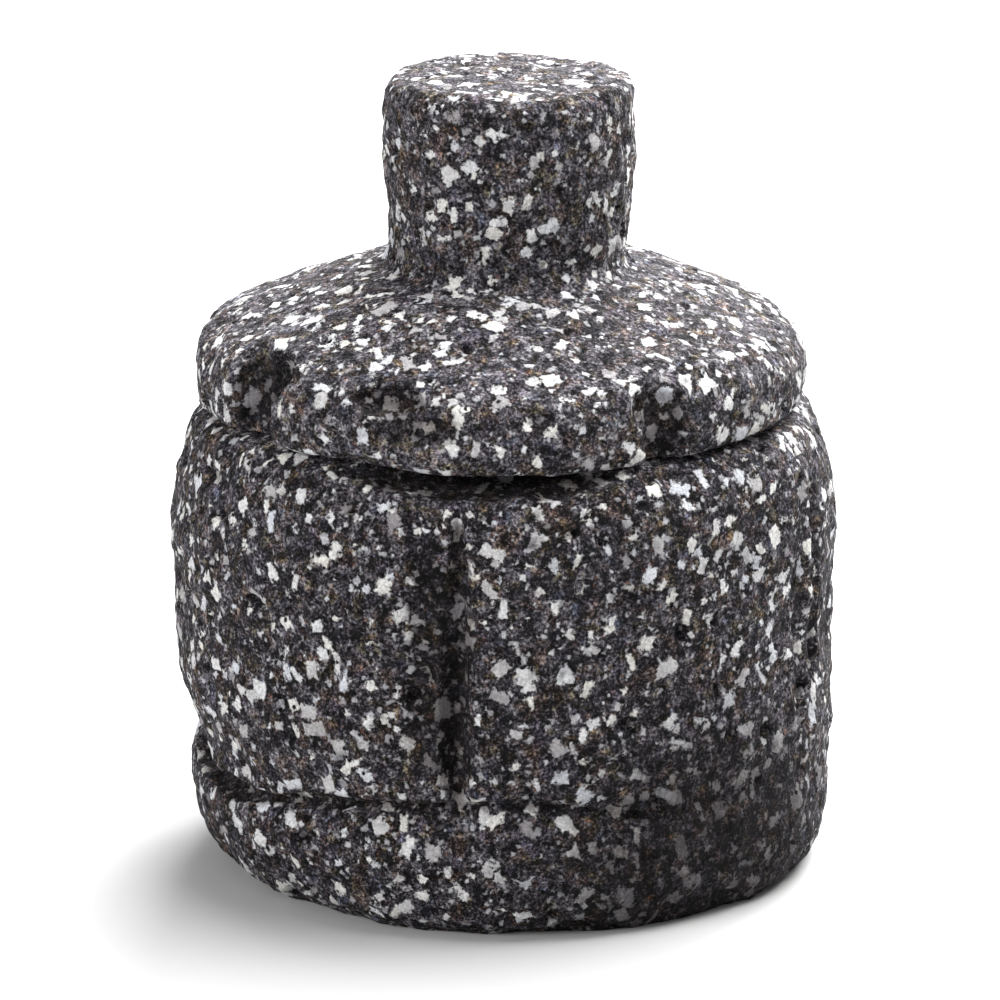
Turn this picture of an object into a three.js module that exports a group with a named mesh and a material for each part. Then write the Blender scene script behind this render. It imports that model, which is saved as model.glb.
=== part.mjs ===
// Molcajete: a lobed mortar with a domed, knobbed lid, and the hand stone that is kept inside it.
// All three pieces are carved from porphyritic basalt, each out of one block.
// Millimetres, +Z up. The origin is the centre of the base, and -Y is the front.
// Angles around the stone are in degrees from the front, growing towards +X.

import * as THREE from 'three';
import { mergeVertices } from 'three/addons/utils/BufferGeometryUtils.js';

const { degToRad, euclideanModulo, radToDeg, smoothstep } = THREE.MathUtils;

// Air between two stones that rest on each other.
const SEAT_GAP = 0.3;

// Bowl, from the base up.
const BASE_RADIUS = 56;
const FOOT_RADIUS = 61.9;
const FOOT_LOW = 13;
const FOOT_HIGH = 19;
const WAIST_RADIUS = 60.4;
const WAIST_HEIGHT = 25.5;
const BELLY_RADIUS = 65.2;
const BELLY_LOW = 46;
const BELLY_HIGH = 80;
const SEAT_RADIUS = 57;
const BOWL_HEIGHT = 94;

// Rounded edge under the bowl's foot, its narrowing to the waist, and the swell of the lobes above it.
const FOOT_EDGE = point(4.8, 6);
const FOOT_NECK = point(61.2, 23);
const LOBE_SWELL = [point(61.6, 29.5), point(63.6, 35.5)];

// Cavity of the bowl: straight-sided at the mouth, and half an ellipsoid below that.
const MOUTH_RADIUS = 45.2;
const CAVITY_RADIUS = 43;
const CAVITY_ROUND_TOP = 70;
const CAVITY_FLOOR = 30;
const LIP_INSET = 1.8;
const LIP_RADII = point(3.2, 3);

// Lid, from the boss that locates it in the mouth up to its knob.
const BOSS_RADIUS = 41;
const BOSS_DEPTH = 4.6;
const BOSS_CHAMFER = { across: 2.4, up: 2, draft: 0.6 };
const LID_UNDERSIDE = BOWL_HEIGHT + SEAT_GAP;
const LID_FLAT_RADIUS = 56.8;
const LID_RADIUS = 59.6;
const LID_EDGE_HEIGHT = 3;
const RIM_TOP = 104.5;
const SHOULDER_RADIUS = 52.5;
const SHOULDER_HEIGHT = 111.3;
const NECK_HEIGHT = 126;
const NECK_RADIUS = 22.8;
const KNOB_RADIUS = 24.2;
const KNOB_TOP = 160;
const KNOB_CROWN = 0.4;
const KNOB_EDGE = point(5, 5.2);
const KNOB_OFFSET = 1.2; // the knob stands a little to the right of the lid's centre
const KNOB_OFFSET_START = 118.3; // height from which the dome leans over to it
const DOME_SIDE = [point(48, 113.2), point(38, 116.7), point(29, 119.6), point(25, 122)];
const KNOB_SIDE = [point(23.6, 131), point(KNOB_RADIUS, 139), point(KNOB_RADIUS, 148), point(24, 153.5)];

// Hand stone, in its own frame along +Z from its grinding end, and where it leans in the cavity.
const PESTLE_LENGTH = 65;
const GRIND_RADIUS = 19.5;
const GRIND_HEIGHT = 14;
const SHAFT_SIDE = [point(18.4, 25), point(15.6, 39), point(13.2, 52)];
const GRIP_RADIUS = 12.5;
const GRIP_DOME = 8;
const GRIP_FLATTENING = 0.03; // share by which the grip is narrower across than deep
const PESTLE_TILT = 48; // lean of its axis away from upright, towards the back
const PESTLE_PLACE = new THREE.Vector3(0, -10.2, 39);

const BODY_SEGMENTS = 84;
const PESTLE_SEGMENTS = 28;

const STONE = { color: 0x555154, roughness: 0.86, metalness: 0 };
const LID_STONE = { color: 0x5a5659, roughness: 0.86, metalness: 0 };
const PESTLE_STONE = { color: 0x4c4a4d, roughness: 0.8, metalness: 0 };

// Carved grooves that part the lobes: the angle of each, its depth, and how far each flank reaches.
const BOWL_GROOVES = [
  { angle: 0, depth: 4.2, before: 11, after: 6 },
  { angle: 79, depth: 4, before: 6, after: 9 },
  { angle: 180, depth: 4.2, before: 9, after: 9 },
  { angle: 270, depth: 4, before: 9, after: 8 },
];
const LID_GROOVES = [
  { angle: 40, depth: 3.6, before: 8, after: 7 },
  { angle: 125, depth: 4, before: 7, after: 7 },
  { angle: 230, depth: 4, before: 7, after: 7 },
  { angle: 315, depth: 5.4, before: 7, after: 6 },
];

// The waist between foot and lobes is cut deepest on the left (-X) and fades out on the right.
const WAIST_LEFT_CUT = 1.7;
const GROOVE_RUN_OUT = 7; // height above the waist over which a groove gets its full depth
const GROOVE_FADE = { share: 0.35, above: 8 }; // depth that a groove has lost a little above the belly
const SIDE_BAND = 4; // the outer wall starts this far outside the seat
const WAIST_REACH = 9;
const WAIST_FADE = { from: -0.6, to: 0.9, low: 6, high: 24 };

// Slow unevenness of a wall dressed by hand.
const LID_WAVES_TURN = 60; // the lid was dressed apart from the bowl, so its waves are turned
const RIM_BAND = 8; // the lid's carving fades out this far inside its shoulder
const WAVES = [
  { height: 0.4, count: 2, climb: 1 / 30, phase: 0.4 },
  { height: 0.3, count: 5, climb: -1 / 17, phase: 1.9 },
];

function point(radius, height) {
  return new THREE.Vector2(radius, height);
}

// Points of an elliptical arc in the profile plane, between two angles in degrees.
function arc(centre, radii, from, to, steps) {
  const points = [];
  for (let step = 0; step <= steps; step += 1) {
    const turn = degToRad(from + ((to - from) * step) / steps);
    const radius = centre.x + radii.x * Math.cos(turn);
    const onAxis = Math.abs(radius) < 1e-6;
    points.push(point(onAxis ? 0 : radius, centre.y + radii.y * Math.sin(turn)));
  }
  return points;
}

// Points strung evenly along a smooth curve through a few given ones.
function throughPoints(points, steps) {
  return new THREE.SplineCurve(points).getPoints(steps);
}

// Depth of the grooves at an angle: full on a groove's line, and gone where its flanks end.
function grooveDepth(grooves, angle) {
  let depth = 0;
  for (const groove of grooves) {
    const offset = euclideanModulo(angle - groove.angle + 180, 360) - 180;
    const reach = offset < 0 ? groove.before : groove.after;
    depth += groove.depth * smoothstep(1 - Math.abs(offset) / reach, 0, 1);
  }
  return depth;
}

function wallWaves(angle, height) {
  const turn = degToRad(angle);
  return WAVES.reduce((sum, wave) => {
    const phase = wave.count * turn + wave.climb * height + wave.phase;
    return sum + wave.height * Math.sin(phase);
  }, 0);
}

// Turned solid of a profile, with +Z as its axis. carve gives each vertex its new radius.
function carvedSolid(profile, segments, carve) {
  const turned = new THREE.LatheGeometry(profile, segments);
  turned.rotateX(Math.PI / 2);
  turned.deleteAttribute('normal');
  turned.deleteAttribute('uv');
  const solid = mergeVertices(turned, 1e-4);
  const place = solid.getAttribute('position');
  for (let i = 0; i < place.count; i += 1) {
    const radius = Math.hypot(place.getX(i), place.getY(i));
    if (radius < 1e-4) continue;
    const angle = euclideanModulo(radToDeg(Math.atan2(place.getX(i), -place.getY(i))), 360);
    const scale = carve(radius, place.getZ(i), angle) / radius;
    place.setXY(i, place.getX(i) * scale, place.getY(i) * scale);
  }
  return solid;
}

function dropEmptyTriangles(geometry) {
  const index = geometry.getIndex().array;
  const kept = [];
  for (let i = 0; i < index.length; i += 3) {
    const [a, b, c] = index.slice(i, i + 3);
    if (a !== b && b !== c && c !== a) kept.push(a, b, c);
  }
  geometry.setIndex(kept);
  return geometry;
}

function stoneMesh(name, geometry, look) {
  const solid = dropEmptyTriangles(geometry);
  solid.computeVertexNormals();
  const mesh = new THREE.Mesh(solid, new THREE.MeshStandardMaterial(look));
  mesh.name = name;
  return mesh;
}

function bowlProfile() {
  const footEdge = arc(point(BASE_RADIUS, FOOT_EDGE.y), FOOT_EDGE, -90, 0, 4);
  const foot = [point(FOOT_RADIUS, FOOT_LOW), point(FOOT_RADIUS, FOOT_HIGH), FOOT_NECK];
  const lobe = [
    point(WAIST_RADIUS, WAIST_HEIGHT),
    ...LOBE_SWELL,
    point(BELLY_RADIUS, BELLY_LOW),
    point(BELLY_RADIUS, (BELLY_LOW + BELLY_HIGH) / 2),
    point(BELLY_RADIUS, BELLY_HIGH),
  ];
  const shoulderRadii = point(BELLY_RADIUS - SEAT_RADIUS, BOWL_HEIGHT - BELLY_HIGH);
  const shoulder = arc(point(SEAT_RADIUS, BELLY_HIGH), shoulderRadii, 20, 90, 4);
  const lip = arc(point(MOUTH_RADIUS + LIP_INSET, BOWL_HEIGHT - LIP_RADII.y), LIP_RADII, 90, 165, 2);
  const cavityRadii = point(CAVITY_RADIUS, CAVITY_ROUND_TOP - CAVITY_FLOOR);
  const cavity = arc(point(0, CAVITY_ROUND_TOP), cavityRadii, 0, -90, 7);
  return [point(0, 0), ...footEdge, ...foot, ...lobe, ...shoulder, ...lip, ...cavity];
}

function bowl() {
  const carve = (radius, height, angle) => {
    const outside = smoothstep(radius, BASE_RADIUS, SEAT_RADIUS + SIDE_BAND);
    const aboveWaist = smoothstep(height, WAIST_HEIGHT, WAIST_HEIGHT + GROOVE_RUN_OUT);
    const faded = smoothstep(height, BELLY_LOW, BELLY_HIGH + GROOVE_FADE.above);
    const shallowerUp = 1 - GROOVE_FADE.share * faded;
    const groove = grooveDepth(BOWL_GROOVES, angle) * aboveWaist * shallowerUp;
    const rightwards = Math.sin(degToRad(angle));
    const belowBelly = height < BELLY_LOW ? smoothstep(height, WAIST_FADE.low, WAIST_FADE.high) : 0;
    const fill = smoothstep(rightwards, WAIST_FADE.from, WAIST_FADE.to) * belowBelly;
    const nearWaist = smoothstep(1 - Math.abs(height - WAIST_HEIGHT) / WAIST_REACH, 0, 1);
    const leftCut = WAIST_LEFT_CUT * Math.max(0, -rightwards) * nearWaist;
    const dressed = fill * (BELLY_RADIUS - radius) - leftCut + wallWaves(angle, height) - groove;
    return radius + outside * dressed;
  };
  return stoneMesh('bowl', carvedSolid(bowlProfile(), BODY_SEGMENTS, carve), STONE);
}

function lidProfile() {
  const bossLow = BOSS_RADIUS - BOSS_CHAMFER.draft;
  const boss = [
    point(0, LID_UNDERSIDE - BOSS_DEPTH),
    point(bossLow - BOSS_CHAMFER.across, LID_UNDERSIDE - BOSS_DEPTH),
    point(bossLow, LID_UNDERSIDE - BOSS_DEPTH + BOSS_CHAMFER.up),
    point(BOSS_RADIUS, LID_UNDERSIDE),
  ];
  const edgeRadii = point(LID_RADIUS - LID_FLAT_RADIUS, LID_EDGE_HEIGHT);
  const edge = arc(point(LID_FLAT_RADIUS, LID_UNDERSIDE + LID_EDGE_HEIGHT), edgeRadii, -90, 0, 3);
  const shoulderRadii = point(LID_RADIUS - SHOULDER_RADIUS, SHOULDER_HEIGHT - RIM_TOP);
  const shoulder = arc(point(SHOULDER_RADIUS, RIM_TOP), shoulderRadii, 0, 75, 4);
  const dome = throughPoints([...DOME_SIDE, point(NECK_RADIUS, NECK_HEIGHT)], 6);
  const knobEdgeCentre = point(KNOB_RADIUS - KNOB_EDGE.x, KNOB_TOP - KNOB_CROWN - KNOB_EDGE.y);
  const knobEdge = arc(knobEdgeCentre, KNOB_EDGE, 25, 90, 3);
  return [...boss, ...edge, ...shoulder, ...dome, ...KNOB_SIDE, ...knobEdge, point(0, KNOB_TOP)];
}

function lid() {
  const carve = (radius, height, angle) => {
    const nearRim = smoothstep(radius, SHOULDER_RADIUS - RIM_BAND, LID_FLAT_RADIUS);
    const waves = wallWaves(angle + LID_WAVES_TURN, height);
    return radius + nearRim * (waves - grooveDepth(LID_GROOVES, angle));
  };
  const solid = carvedSolid(lidProfile(), BODY_SEGMENTS, carve);
  const place = solid.getAttribute('position');
  for (let i = 0; i < place.count; i += 1) {
    const up = smoothstep(place.getZ(i), KNOB_OFFSET_START, NECK_HEIGHT);
    place.setX(i, place.getX(i) + KNOB_OFFSET * up);
  }
  return stoneMesh('lid', solid, LID_STONE);
}

function pestleProfile() {
  const grindingEnd = arc(point(0, GRIND_HEIGHT), point(GRIND_RADIUS, GRIND_HEIGHT), -90, 0, 5);
  const gripEnd = arc(point(0, PESTLE_LENGTH - GRIP_DOME), point(GRIP_RADIUS, GRIP_DOME), 10, 90, 4);
  return [...grindingEnd, ...SHAFT_SIDE, ...gripEnd];
}

function pestle() {
  const ovalGrip = (radius, height, angle) => {
    const sideways = 1 + Math.cos(2 * degToRad(angle));
    return radius * (1 - GRIP_FLATTENING * sideways);
  };
  const solid = carvedSolid(pestleProfile(), PESTLE_SEGMENTS, ovalGrip);
  const mesh = stoneMesh('tejolote', solid, PESTLE_STONE);
  mesh.rotation.x = -degToRad(PESTLE_TILT);
  mesh.position.copy(PESTLE_PLACE);
  return mesh;
}

const molcajete = new THREE.Group();
molcajete.name = 'molcajete';
molcajete.add(bowl(), lid(), pestle());

export default molcajete;
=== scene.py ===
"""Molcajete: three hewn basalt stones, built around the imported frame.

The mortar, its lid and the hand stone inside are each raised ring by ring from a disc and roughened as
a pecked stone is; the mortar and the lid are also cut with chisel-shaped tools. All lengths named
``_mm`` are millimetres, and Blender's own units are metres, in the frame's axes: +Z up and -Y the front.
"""

import logging
import math
from collections.abc import Callable
from dataclasses import dataclass
from enum import Enum

import bpy
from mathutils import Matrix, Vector
from mathutils.bvhtree import BVHTree


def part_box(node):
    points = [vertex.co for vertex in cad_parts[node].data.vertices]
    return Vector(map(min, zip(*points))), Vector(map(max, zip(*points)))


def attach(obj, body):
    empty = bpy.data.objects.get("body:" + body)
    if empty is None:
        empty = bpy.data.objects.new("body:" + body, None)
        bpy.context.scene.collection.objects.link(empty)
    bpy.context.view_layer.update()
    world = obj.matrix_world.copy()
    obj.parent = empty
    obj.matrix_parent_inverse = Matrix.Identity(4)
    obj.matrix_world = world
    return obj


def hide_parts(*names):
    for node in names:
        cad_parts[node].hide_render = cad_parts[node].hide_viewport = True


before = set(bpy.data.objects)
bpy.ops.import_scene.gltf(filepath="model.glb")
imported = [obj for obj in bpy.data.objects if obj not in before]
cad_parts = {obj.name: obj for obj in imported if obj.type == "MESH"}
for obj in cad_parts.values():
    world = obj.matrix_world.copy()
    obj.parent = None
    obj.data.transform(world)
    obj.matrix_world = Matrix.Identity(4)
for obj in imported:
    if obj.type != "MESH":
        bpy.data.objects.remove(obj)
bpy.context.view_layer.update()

MM = 0.001
SEAT_GAP_MM = 0.3  # air between the mortar's rim and the lid that rests on it
LOG = logging.getLogger("molcajete")


class Cut(Enum):
    """Shapes of tool that take stone away."""

    FLUTE = "a long gouge stroke with a round section"
    WEDGE = "a long stroke with a sharp-bottomed section"
    PIT = "a single short knock of the point"


class Relief(Enum):
    """Kinds of roughness that work leaves on a stone, as Blender's procedural texture types."""

    SWELL = "CLOUDS"
    PIT = "VORONOI"


# ---------------------------------------------------------------- selecting and applying


def deselect_all() -> None:
    """Leaves object mode with nothing selected."""
    if bpy.context.object and bpy.context.object.mode != "OBJECT":
        bpy.ops.object.mode_set(mode="OBJECT")
    bpy.ops.object.select_all(action="DESELECT")


def make_active(piece: bpy.types.Object) -> None:
    """Selects one piece alone and makes it the active one.

    Args:
        piece: The object that the next operators act on.
    """
    deselect_all()
    piece.select_set(True)
    bpy.context.view_layer.objects.active = piece


def select_vertices(piece: bpy.types.Object, wanted: Callable[[Vector], bool]) -> None:
    """Enters edit mode on a piece with only the wanted vertices selected.

    Args:
        piece: The mesh object to edit.
        wanted: Says of a vertex's place whether it is selected.
    """
    make_active(piece)
    bpy.ops.object.mode_set(mode="EDIT")
    bpy.ops.mesh.select_mode(type="VERT")
    bpy.ops.mesh.select_all(action="DESELECT")
    bpy.ops.object.mode_set(mode="OBJECT")
    for vertex in piece.data.vertices:
        vertex.select = wanted(vertex.co)
    bpy.ops.object.mode_set(mode="EDIT")


def apply_modifier(piece: bpy.types.Object, kind: str, **settings: object) -> None:
    """Adds one modifier to a piece and applies it at once.

    Args:
        piece: The mesh object.
        kind: Blender's modifier type.
        **settings: Values for the modifier's own properties.
    """
    make_active(piece)
    modifier = piece.modifiers.new(kind.title(), kind)
    for name, value in settings.items():
        setattr(modifier, name, value)
    bpy.ops.object.modifier_apply(modifier=modifier.name)


# ---------------------------------------------------------------- raising a stone from rings


@dataclass(frozen=True)
class Ring:
    """One turn of a stone's outline, in millimetres.

    Attributes:
        left: How far the ring stands out towards -X.
        right: How far it stands out towards +X.
        height: Its height above the base.
    """

    left: float
    right: float
    height: float

    @property
    def radius(self) -> float:
        """The ring's own radius."""
        return (self.left + self.right) / 2

    @property
    def shift(self) -> float:
        """How far the ring's centre stands off the axis, towards +X."""
        return (self.right - self.left) / 2


def even(radius: float, height: float, shift: float = 0.0) -> Ring:
    """A round ring whose centre is shifted towards +X by a given length."""
    return Ring(radius - shift, radius + shift, height)


def arc_rings(
    centre: tuple[float, float], radii: tuple[float, float], turn: tuple[float, float], count: int,
    shift: float = 0.0,
) -> list[Ring]:
    """Rings along an elliptical arc of the outline.

    Args:
        centre: Radius and height of the arc's centre.
        radii: The arc's half widths across and up.
        turn: First and last angle in degrees, with 0 outwards and 90 up.
        count: How many rings to make.
        shift: Sideways shift of all of them.

    Returns:
        The rings in order along the arc.
    """
    rings = []
    for step in range(count):
        angle = math.radians(turn[0] + (turn[1] - turn[0]) * step / (count - 1))
        radius = centre[0] + radii[0] * math.cos(angle)
        rings.append(even(radius, centre[1] + radii[1] * math.sin(angle), shift))
    return rings


def raise_rings(name: str, rings: list[Ring], sides: int) -> bpy.types.Object:
    """Raises a closed stone from a disc, one extruded and resized ring at a time.

    Args:
        name: The new object's name.
        rings: The outline from the middle of the underside round to the last face.
        sides: How many sides each ring has.

    Returns:
        The stone as a closed mesh.
    """
    first = rings[0]
    deselect_all()
    bpy.ops.mesh.primitive_circle_add(
        vertices=sides, radius=first.radius * MM, fill_type="NGON",
        location=(first.shift * MM, 0, first.height * MM),
    )
    stone = bpy.context.object
    stone.name = name
    bpy.ops.object.transform_apply(location=True, rotation=True, scale=True)
    bpy.ops.object.mode_set(mode="EDIT")
    bpy.ops.mesh.select_mode(type="FACE")
    bpy.ops.mesh.select_all(action="SELECT")
    for last, ring in zip(rings, rings[1:]):
        step = ((ring.shift - last.shift) * MM, 0, (ring.height - last.height) * MM)
        bpy.ops.mesh.extrude_region_move(TRANSFORM_OT_translate={"value": step})
        ratio = ring.radius / last.radius
        bpy.ops.transform.resize(
            value=(ratio, ratio, 1), center_override=(ring.shift * MM, 0, ring.height * MM)
        )
    bpy.ops.mesh.select_all(action="SELECT")
    bpy.ops.mesh.remove_doubles(threshold=1e-6)
    bpy.ops.mesh.normals_make_consistent(inside=False)
    bpy.ops.object.mode_set(mode="OBJECT")
    return stone


# ---------------------------------------------------------------- cutting and roughening


@dataclass(frozen=True)
class Chisel:
    """One stroke that takes stone away from a side.

    Attributes:
        cut: What kind of stroke it is.
        angle: Degrees round the stone from the front, growing towards +X.
        reach: Distance of the tool's centre line from the axis, in millimetres.
        width: Half width of the tool across the stroke.
        thickness: Half width of the tool along the stone's radius.
        low: Height where the stroke starts.
        high: Height where it ends.
        lean: Degrees that the tool is turned about its own centre line.
        flare: How much further out the tool's upper end stands.
    """

    cut: Cut
    angle: float
    reach: float
    width: float
    thickness: float
    low: float
    high: float
    lean: float = 0.0
    flare: float = 0.0

    def tool(self) -> bpy.types.Object:
        """Models the tool: a sphere pulled into a round-nosed bar, or left as a knob for a pit.

        Returns:
            The tool's object, in place.
        """
        deselect_all()
        section = 4 if self.cut is Cut.WEDGE else 24
        bpy.ops.mesh.primitive_uv_sphere_add(segments=section, ring_count=12, radius=1.0)
        bar = bpy.context.object
        length = (self.high - self.low) * MM
        nose = length / 2 if self.cut is Cut.PIT else self.thickness * MM
        bpy.ops.object.mode_set(mode="EDIT")
        bpy.ops.transform.resize(
            value=(self.width * MM, self.thickness * MM, nose), center_override=(0, 0, 0)
        )
        bpy.ops.object.mode_set(mode="OBJECT")
        base = (self.low + self.high) / 2
        if self.cut is not Cut.PIT:
            select_vertices(bar, lambda place: place.z > 1e-6)
            bpy.ops.transform.translate(value=(0, -self.flare * MM, length))
            bpy.ops.object.mode_set(mode="OBJECT")
            base = self.low
        turn = math.radians(self.angle)
        make_active(bar)
        bar.rotation_euler = (0, 0, turn + math.radians(self.lean))
        bar.location = (self.reach * MM * math.sin(turn), -self.reach * MM * math.cos(turn), base * MM)
        bpy.ops.object.transform_apply(location=True, rotation=True, scale=True)
        return bar


@dataclass(frozen=True)
class Ledge:
    """The undercut line that runs round a stone, above its foot.

    Attributes:
        inner: Half widths of the cut's deepest line, across and front to back, in millimetres.
        shift: Sideways shift of the line towards +X, so that it runs out on that side.
        height: Mean height of the line.
        section: Half width of the tool, radially and vertically.
        dips: Places where the line wanders: angle in degrees, rise and the reach of the bend.
    """

    inner: tuple[float, float]
    shift: float
    height: float
    section: tuple[float, float]
    dips: tuple[tuple[float, float, float], ...] = ()

    def tool(self) -> bpy.types.Object:
        """Models the tool: a ring of oval section, bent up and down.

        Returns:
            The tool's object, in place.
        """
        deselect_all()
        across, deep = self.inner[0] + self.section[0], self.inner[1] + self.section[0]
        bpy.ops.mesh.primitive_torus_add(
            major_segments=120, minor_segments=16, major_radius=across * MM,
            minor_radius=self.section[0] * MM,
        )
        ring = bpy.context.object
        bpy.ops.object.mode_set(mode="EDIT")
        bpy.ops.transform.resize(
            value=(1, deep / across, self.section[1] / self.section[0]), center_override=(0, 0, 0)
        )
        bpy.ops.object.mode_set(mode="OBJECT")
        for angle, rise, spread in self.dips:
            turn = math.radians(angle)
            centre = Vector((across * MM * math.sin(turn), -deep * MM * math.cos(turn), 0))
            select_vertices(ring, lambda place: (place - centre).length < (self.section[0] + 2) * MM)
            bpy.ops.transform.translate(
                value=(0, 0, rise * MM), use_proportional_edit=True,
                proportional_edit_falloff="SMOOTH", proportional_size=spread * MM,
            )
            bpy.ops.object.mode_set(mode="OBJECT")
        make_active(ring)
        ring.location = (self.shift * MM, 0, self.height * MM)
        bpy.ops.object.transform_apply(location=True, rotation=True, scale=True)
        return ring


def carve(stone: bpy.types.Object, strokes: list[Chisel | Ledge]) -> None:
    """Takes every stroke out of a stone.

    Args:
        stone: The closed mesh to cut.
        strokes: The chisel strokes, in order.
    """
    for stroke in strokes:
        tool = stroke.tool()
        apply_modifier(stone, "BOOLEAN", operation="DIFFERENCE", solver="EXACT", object=tool)
        bpy.data.objects.remove(tool)


@dataclass(frozen=True)
class Roughness:
    """One scale of unevenness that is pushed into a stone's real surface.

    Attributes:
        relief: Kind of pattern.
        size: Typical length of a bump, or distance between pits, in millimetres.
        height: Peak to trough height in millimetres.
        depth: Octaves of finer noise in it.
        share: For pits, how much of the distance between them is pit.
    """

    relief: Relief
    size: float
    height: float
    depth: int = 2
    share: float = 0.3

    def pattern(self) -> bpy.types.Texture:
        """Makes the procedural texture that pushes the surface.

        Returns:
            The texture.
        """
        made = bpy.data.textures.new(self.relief.name.lower(), self.relief.value)
        made.noise_scale = self.size * MM
        if self.relief is Relief.SWELL:
            made.noise_basis = "ORIGINAL_PERLIN"
            made.noise_depth = self.depth
        if self.relief is Relief.PIT:
            made.use_color_ramp = True
            stops = made.color_ramp.elements
            stops[0].position, stops[0].color = self.share * 0.45, (0, 0, 0, 1)
            stops[1].position, stops[1].color = self.share, (1, 1, 1, 1)
        return made


def roughen(
    stone: bpy.types.Object, layers: list[Roughness], softness: Callable[[bpy.types.MeshVertex], float]
) -> None:
    """Displaces a stone's surface along its normals, from coarse to fine.

    Args:
        stone: The dense mesh to roughen.
        layers: The scales of unevenness.
        softness: Says of a vertex how much of the roughness it takes, from 0 to 1.
    """
    worked = stone.vertex_groups.new(name="worked")
    steps: dict[int, list[int]] = {}
    for vertex in stone.data.vertices:
        steps.setdefault(round(20 * softness(vertex)), []).append(vertex.index)
    for step, indices in steps.items():
        worked.add(indices, step / 20, "REPLACE")
    for layer in layers:
        apply_modifier(
            stone, "DISPLACE", texture=layer.pattern(), texture_coords="LOCAL", direction="NORMAL",
            strength=layer.height * MM, mid_level=1.0 if layer.relief is Relief.PIT else 0.5,
            vertex_group="worked",
        )
    stone.vertex_groups.clear()


def weather(
    stone: bpy.types.Object, voxel_mm: float, layers: list[Roughness],
    softness: Callable[[bpy.types.MeshVertex], float],
) -> None:
    """Turns a cut block into a dense, softened and roughened stone.

    Args:
        stone: The closed mesh to finish.
        voxel_mm: Size of the grid that the surface is rebuilt on.
        layers: Scales of unevenness to push in.
        softness: Says of a vertex how much of the roughness it takes, from 0 to 1.
    """
    apply_modifier(stone, "REMESH", mode="VOXEL", voxel_size=voxel_mm * MM, use_smooth_shade=True)
    apply_modifier(stone, "SMOOTH", factor=0.5, iterations=3)
    roughen(stone, layers, softness)
    make_active(stone)
    bpy.ops.object.shade_smooth()


def skin_of(stone: bpy.types.Object) -> BVHTree:
    """Remembers a stone's outside as it is before any stroke, to measure later how deep each one goes.

    Args:
        stone: The stone before it is cut.

    Returns:
        Its surface, which can be searched for the nearest point.
    """
    return BVHTree.FromPolygons(
        [vertex.co.copy() for vertex in stone.data.vertices],
        [face.vertices[:] for face in stone.data.polygons],
    )


def note_recesses(stone: bpy.types.Object, skin: BVHTree) -> None:
    """Stores on each vertex how many millimetres it lies below the stone's first outside, for painted
    shade.

    Args:
        stone: The finished mesh.
        skin: The outside before the strokes.
    """
    depths = []
    for vertex in stone.data.vertices:
        nearest, normal, _, _ = skin.find_nearest(vertex.co)
        depths.append((nearest - vertex.co).dot(normal) / MM)
    recess = stone.data.attributes.new("recess", "FLOAT", "POINT")
    recess.data.foreach_set("value", depths)


def trim_below(stone: bpy.types.Object, height_mm: float) -> None:
    """Dresses a stone's base flat, by taking off all below a level.

    Args:
        stone: The closed mesh to trim.
        height_mm: The level of the flat base.
    """
    deselect_all()
    side = 300 * MM
    bpy.ops.mesh.primitive_cube_add(size=side, location=(0, 0, height_mm * MM - side / 2))
    slab = bpy.context.object
    bpy.ops.object.transform_apply(location=True, rotation=True, scale=True)
    apply_modifier(stone, "BOOLEAN", operation="DIFFERENCE", solver="EXACT", object=slab)
    bpy.data.objects.remove(slab)


# ---------------------------------------------------------------- finishes


def linear(colour: str, alpha: float = 1.0) -> tuple[float, float, float, float]:
    """Turns an sRGB hex colour into Blender's linear colour.

    Args:
        colour: Six hex digits after a hash sign.
        alpha: The colour's alpha.

    Returns:
        Red, green, blue and alpha from 0 to 1.
    """
    channels = [int(colour[place:place + 2], 16) / 255 for place in (1, 3, 5)]
    curve = [c / 12.92 if c <= 0.04045 else ((c + 0.055) / 1.055) ** 2.4 for c in channels]
    return (*curve, alpha)


def add(
    tree: bpy.types.NodeTree, kind: str, inputs: dict[str | int, object] | tuple[object, ...] = (),
    **settings: object,
) -> bpy.types.Node:
    """Adds a node with its settings, values and links.

    Args:
        tree: The node tree.
        kind: Blender's node type, without its "ShaderNode".
        inputs: What the inputs get, in order or by name or number: each a value, a socket, or a node
            whose first output feeds it.
        **settings: Values for the node's own properties.

    Returns:
        The new node.
    """
    made = tree.nodes.new("ShaderNode" + kind)
    for name, value in settings.items():
        setattr(made, name, value)
    for key, value in inputs.items() if isinstance(inputs, dict) else enumerate(inputs):
        if isinstance(value, bpy.types.Node):
            value = value.outputs[0]
        if isinstance(value, bpy.types.NodeSocket):
            tree.links.new(value, made.inputs[key])
        else:
            made.inputs[key].default_value = value
    return made


def set_stops(ramp: bpy.types.Node, stops: tuple[tuple[float, str], ...]) -> None:
    """Gives a colour ramp its stops.

    Args:
        ramp: The colour ramp node, with its two first stops.
        stops: Each stop's position from 0 to 1 and its colour, at least two of them.
    """
    elements = ramp.color_ramp.elements
    for place, (position, tint) in ((0, stops[0]), (1, stops[-1])):
        elements[place].position = position
        elements[place].color = linear(tint)
    for position, tint in stops[1:-1]:
        elements.new(position).color = linear(tint)


@dataclass(frozen=True)
class Crystals:
    """One generation of feldspar crystals that grew in the lava.

    Attributes:
        spacing: Mean distance between their centres, in millimetres.
        smallest: Half length, half width and half thickness of the smallest.
        largest: The same of the largest.
        share: Share of the places that hold a crystal.
        ragged: How far noise moves their outlines, in millimetres.
        tints: Position from 0 to 1 and colour, over the crystals of the generation.
        shift: Moves the pattern, so that two generations don't grow on the same points.
    """

    spacing: float
    smallest: tuple[float, float, float]
    largest: tuple[float, float, float]
    share: float
    ragged: float
    tints: tuple[tuple[float, str], ...]
    shift: tuple[float, float, float] = (0.0, 0.0, 0.0)


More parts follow.
